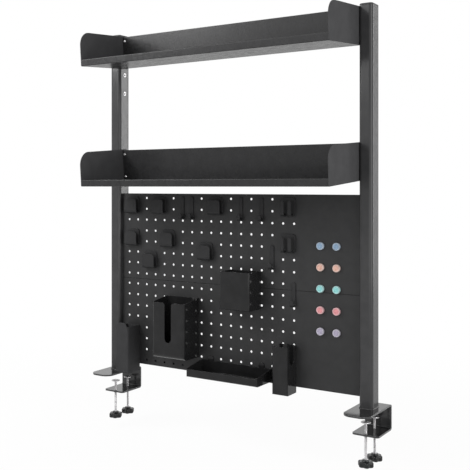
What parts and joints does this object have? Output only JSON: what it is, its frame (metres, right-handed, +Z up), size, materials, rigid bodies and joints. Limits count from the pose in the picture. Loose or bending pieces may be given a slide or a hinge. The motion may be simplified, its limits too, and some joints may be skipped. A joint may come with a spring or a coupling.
{
  "type": "clamp-on desktop shelf with pegboard",
  "caption": "Desk shelf on two clamped posts, with tilted upper and lower trays, a perforated back board, plug-in hooks, bins and a tray, and round board magnets.",
  "frame": {"origin": "midway between the two clamps, on the plane where their top plates rest on the desk, in the plane of the front face of the pegboard", "axes": "+Z up, +X to the right as seen from the user, +Y to the back of the desk"},
  "size_m": [0.8, 0.2502, 1.0705],
  "materials": {
    "powder_coat": "satin",
    "tray_coat": "satin",
    "board_coat": "satin",
    "cap_plastic": "matte",
    "zinc": "satin",
    "knob_plastic": "satin",
    "accessory_plastic": "gloss",
    "magnet_blue": "satin",
    "magnet_peach": "satin",
    "magnet_turquoise": "satin",
    "magnet_coral": "satin",
    "magnet_lilac": "satin"
  },
  "bodies": {
    "frame": {"left_post": "powder_coat", "left_post_cap": "cap_plastic", "left_clamp": "powder_coat", "left_lower_tray_end": "tray_coat", "left_upper_tray_end": "tray_coat", "right_post": "powder_coat", "right_post_cap": "cap_plastic", "right_clamp": "powder_coat", "right_lower_tray_end": "tray_coat", "right_upper_tray_end": "tray_coat", "lower_tray": "tray_coat", "upper_tray": "tray_coat", "lower_panel": "board_coat", "upper_panel": "board_coat"},
    "left_front_pad": {"left_front_pad": "zinc"},
    "left_front_screw": {"left_front_screw": "zinc", "left_front_knob": "knob_plastic"},
    "left_rear_pad": {"left_rear_pad": "zinc"},
    "left_rear_screw": {"left_rear_screw": "zinc", "left_rear_knob": "knob_plastic"},
    "right_front_pad": {"right_front_pad": "zinc"},
    "right_front_screw": {"right_front_screw": "zinc", "right_front_knob": "knob_plastic"},
    "right_rear_pad": {"right_rear_pad": "zinc"},
    "right_rear_screw": {"right_rear_screw": "zinc", "right_rear_knob": "knob_plastic"},
    "wide_hook_1": {"wide_hook_1": "accessory_plastic"},
    "wide_hook_2": {"wide_hook_2": "accessory_plastic"},
    "wide_hook_3": {"wide_hook_3": "accessory_plastic"},
    "wide_hook_4": {"wide_hook_4": "accessory_plastic"},
    "wide_hook_5": {"wide_hook_5": "accessory_plastic"},
    "wide_hook_6": {"wide_hook_6": "accessory_plastic"},
    "wide_hook_7": {"wide_hook_7": "accessory_plastic"},
    "double_hook_1": {"double_hook_1": "accessory_plastic"},
    "double_hook_2": {"double_hook_2": "accessory_plastic"},
    "slim_hook_1": {"slim_hook_1": "accessory_plastic"},
    "slim_hook_2": {"slim_hook_2": "accessory_plastic"},
    "slim_hook_3": {"slim_hook_3": "accessory_plastic"},
    "slim_hook_4": {"slim_hook_4": "accessory_plastic"},
    "slim_hook_5": {"slim_hook_5": "accessory_plastic"},
    "slim_hook_6": {"slim_hook_6": "accessory_plastic"},
    "box_bin": {"box_bin": "accessory_plastic"},
    "tall_holder": {"tall_holder": "accessory_plastic"},
    "side_cup": {"side_cup": "accessory_plastic"},
    "narrow_holder": {"narrow_holder": "accessory_plastic"},
    "parts_tray": {"parts_tray": "accessory_plastic"},
    "left_magnet_1": {"left_magnet_1": "magnet_blue"},
    "right_magnet_1": {"right_magnet_1": "magnet_blue"},
    "left_magnet_2": {"left_magnet_2": "magnet_peach"},
    "right_magnet_2": {"right_magnet_2": "magnet_peach"},
    "left_magnet_3": {"left_magnet_3": "magnet_turquoise"},
    "right_magnet_3": {"right_magnet_3": "magnet_turquoise"},
    "left_magnet_4": {"left_magnet_4": "magnet_coral"},
    "right_magnet_4": {"right_magnet_4": "magnet_coral"},
    "left_magnet_5": {"left_magnet_5": "magnet_lilac"},
    "right_magnet_5": {"right_magnet_5": "magnet_lilac"}
  },
  "joints": [
    {"name": "left_front_pad_slide", "type": "slide", "parent": "frame", "child": "left_front_pad", "axis": [0, 0, 1], "range_m": [-0.023, 0.02]},
    {"name": "left_front_screw_turn", "type": "hinge", "parent": "left_front_pad", "child": "left_front_screw", "pos_m": [-0.3665, -0.012, -0.06], "axis": [0, 0, 1], "range_deg": [-8290, 7210]},
    {"name": "left_rear_pad_slide", "type": "slide", "parent": "frame", "child": "left_rear_pad", "axis": [0, 0, 1], "range_m": [-0.023, 0.02]},
    {"name": "left_rear_screw_turn", "type": "hinge", "parent": "left_rear_pad", "child": "left_rear_screw", "pos_m": [-0.3665, 0.044, -0.06], "axis": [0, 0, 1], "range_deg": [-8290, 7210]},
    {"name": "right_front_pad_slide", "type": "slide", "parent": "frame", "child": "right_front_pad", "axis": [0, 0, 1], "range_m": [-0.023, 0.02]},
    {"name": "right_front_screw_turn", "type": "hinge", "parent": "right_front_pad", "child": "right_front_screw", "pos_m": [0.3665, -0.012, -0.06], "axis": [0, 0, 1], "range_deg": [-8290, 7210]},
    {"name": "right_rear_pad_slide", "type": "slide", "parent": "frame", "child": "right_rear_pad", "axis": [0, 0, 1], "range_m": [-0.023, 0.02]},
    {"name": "right_rear_screw_turn", "type": "hinge", "parent": "right_rear_pad", "child": "right_rear_screw", "pos_m": [0.3665, 0.044, -0.06], "axis": [0, 0, 1], "range_deg": [-8290, 7210]},
    {"name": "wide_hook_1_pull", "type": "slide", "parent": "frame", "child": "wide_hook_1", "axis": [0, -1, 0], "range_m": [0, 0.025]},
    {"name": "wide_hook_2_pull", "type": "slide", "parent": "frame", "child": "wide_hook_2", "axis": [0, -1, 0], "range_m": [0, 0.025]},
    {"name": "wide_hook_3_pull", "type": "slide", "parent": "frame", "child": "wide_hook_3", "axis": [0, -1, 0], "range_m": [0, 0.025]},
    {"name": "wide_hook_4_pull", "type": "slide", "parent": "frame", "child": "wide_hook_4", "axis": [0, -1, 0], "range_m": [0, 0.025]},
    {"name": "wide_hook_5_pull", "type": "slide", "parent": "frame", "child": "wide_hook_5", "axis": [0, -1, 0], "range_m": [0, 0.025]},
    {"name": "wide_hook_6_pull", "type": "slide", "parent": "frame", "child": "wide_hook_6", "axis": [0, -1, 0], "range_m": [0, 0.025]},
    {"name": "wide_hook_7_pull", "type": "slide", "parent": "frame", "child": "wide_hook_7", "axis": [0, -1, 0], "range_m": [0, 0.025]},
    {"name": "double_hook_1_pull", "type": "slide", "parent": "frame", "child": "double_hook_1", "axis": [0, -1, 0], "range_m": [0, 0.025]},
    {"name": "double_hook_2_pull", "type": "slide", "parent": "frame", "child": "double_hook_2", "axis": [0, -1, 0], "range_m": [0, 0.025]},
    {"name": "slim_hook_1_pull", "type": "slide", "parent": "frame", "child": "slim_hook_1", "axis": [0, -1, 0], "range_m": [0, 0.025]},
    {"name": "slim_hook_2_pull", "type": "slide", "parent": "frame", "child": "slim_hook_2", "axis": [0, -1, 0], "range_m": [0, 0.025]},
    {"name": "slim_hook_3_pull", "type": "slide", "parent": "frame", "child": "slim_hook_3", "axis": [0, -1, 0], "range_m": [0, 0.025]},
    {"name": "slim_hook_4_pull", "type": "slide", "parent": "frame", "child": "slim_hook_4", "axis": [0, -1, 0], "range_m": [0, 0.025]},
    {"name": "slim_hook_5_pull", "type": "slide", "parent": "frame", "child": "slim_hook_5", "axis": [0, -1, 0], "range_m": [0, 0.025]},
    {"name": "slim_hook_6_pull", "type": "slide", "parent": "frame", "child": "slim_hook_6", "axis": [0, -1, 0], "range_m": [0, 0.025]},
    {"name": "box_bin_pull", "type": "slide", "parent": "frame", "child": "box_bin", "axis": [0, -1, 0], "range_m": [0, 0.03]},
    {"name": "tall_holder_pull", "type": "slide", "parent": "frame", "child": "tall_holder", "axis": [0, -1, 0], "range_m": [0, 0.03]},
    {"name": "side_cup_pull", "type": "slide", "parent": "frame", "child": "side_cup", "axis": [0, -1, 0], "range_m": [0, 0.03]},
    {"name": "narrow_holder_pull", "type": "slide", "parent": "frame", "child": "narrow_holder", "axis": [0, -1, 0], "range_m": [0, 0.03]},
    {"name": "parts_tray_pull", "type": "slide", "parent": "frame", "child": "parts_tray", "axis": [0, -1, 0], "range_m": [0, 0.03]},
    {"name": "left_magnet_1_pull", "type": "slide", "parent": "frame", "child": "left_magnet_1", "axis": [0, -1, 0], "range_m": [0, 0.02]},
    {"name": "right_magnet_1_pull", "type": "slide", "parent": "frame", "child": "right_magnet_1", "axis": [0, -1, 0], "range_m": [0, 0.02]},
    {"name": "left_magnet_2_pull", "type": "slide", "parent": "frame", "child": "left_magnet_2", "axis": [0, -1, 0], "range_m": [0, 0.02]},
    {"name": "right_magnet_2_pull", "type": "slide", "parent": "frame", "child": "right_magnet_2", "axis": [0, -1, 0], "range_m": [0, 0.02]},
    {"name": "left_magnet_3_pull", "type": "slide", "parent": "frame", "child": "left_magnet_3", "axis": [0, -1, 0], "range_m": [0, 0.02]},
    {"name": "right_magnet_3_pull", "type": "slide", "parent": "frame", "child": "right_magnet_3", "axis": [0, -1, 0], "range_m": [0, 0.02]},
    {"name": "left_magnet_4_pull", "type": "slide", "parent": "frame", "child": "left_magnet_4", "axis": [0, -1, 0], "range_m": [0, 0.02]},
    {"name": "right_magnet_4_pull", "type": "slide", "parent": "frame", "child": "right_magnet_4", "axis": [0, -1, 0], "range_m": [0, 0.02]},
    {"name": "left_magnet_5_pull", "type": "slide", "parent": "frame", "child": "left_magnet_5", "axis": [0, -1, 0], "range_m": [0, 0.02]},
    {"name": "right_magnet_5_pull", "type": "slide", "parent": "frame", "child": "right_magnet_5", "axis": [0, -1, 0], "range_m": [0, 0.02]}
  ],
  "couplings": [
    {"joint": "left_front_screw_turn", "follows": "left_front_pad_slide", "rad_per_m": 6283.2},
    {"joint": "left_rear_screw_turn", "follows": "left_rear_pad_slide", "rad_per_m": 6283.2},
    {"joint": "right_front_screw_turn", "follows": "right_front_pad_slide", "rad_per_m": 6283.2},
    {"joint": "right_rear_screw_turn", "follows": "right_rear_pad_slide", "rad_per_m": 6283.2}
  ]
}
